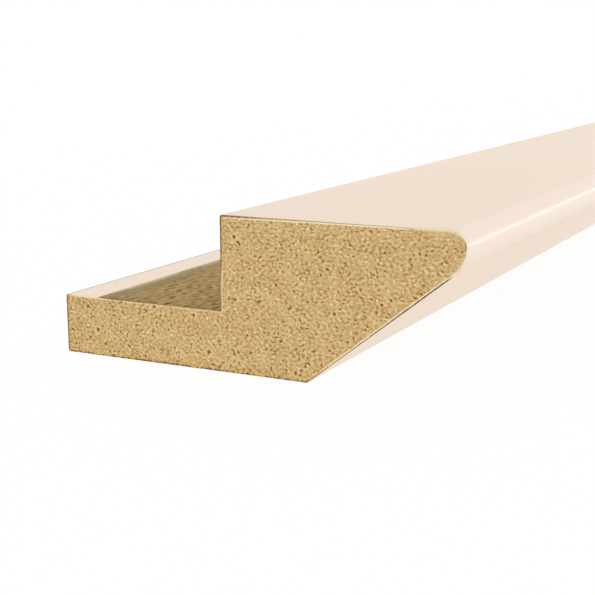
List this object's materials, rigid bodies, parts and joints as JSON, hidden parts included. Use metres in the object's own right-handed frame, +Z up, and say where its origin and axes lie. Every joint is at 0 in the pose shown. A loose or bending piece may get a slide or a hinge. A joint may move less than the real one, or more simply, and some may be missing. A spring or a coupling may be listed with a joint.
{
  "type": "mdf moulding",
  "caption": "Straight length of rebated fibreboard moulding with a tongue, a flat top, a rounded nose and a slanted underside, cream faced, for trimming cabinet and panel edges.",
  "frame": {"origin": "at floor level, under the middle of the length and of the overall width", "axes": "+Y along the length, +X across from the tongue to the nose, +Z up from the flat base to the flat top"},
  "size_m": [0.084, 2.4, 0.03],
  "materials": {
    "moulding": "medium density fibreboard with a cream satin-gloss facing foil on its outer faces; the sawn ends, the rise and most of the rebate floor are bare brown fibreboard"
  },
  "bodies": {
    "root": {"mdf_moulding": "moulding"}
  },
  "joints": []
}
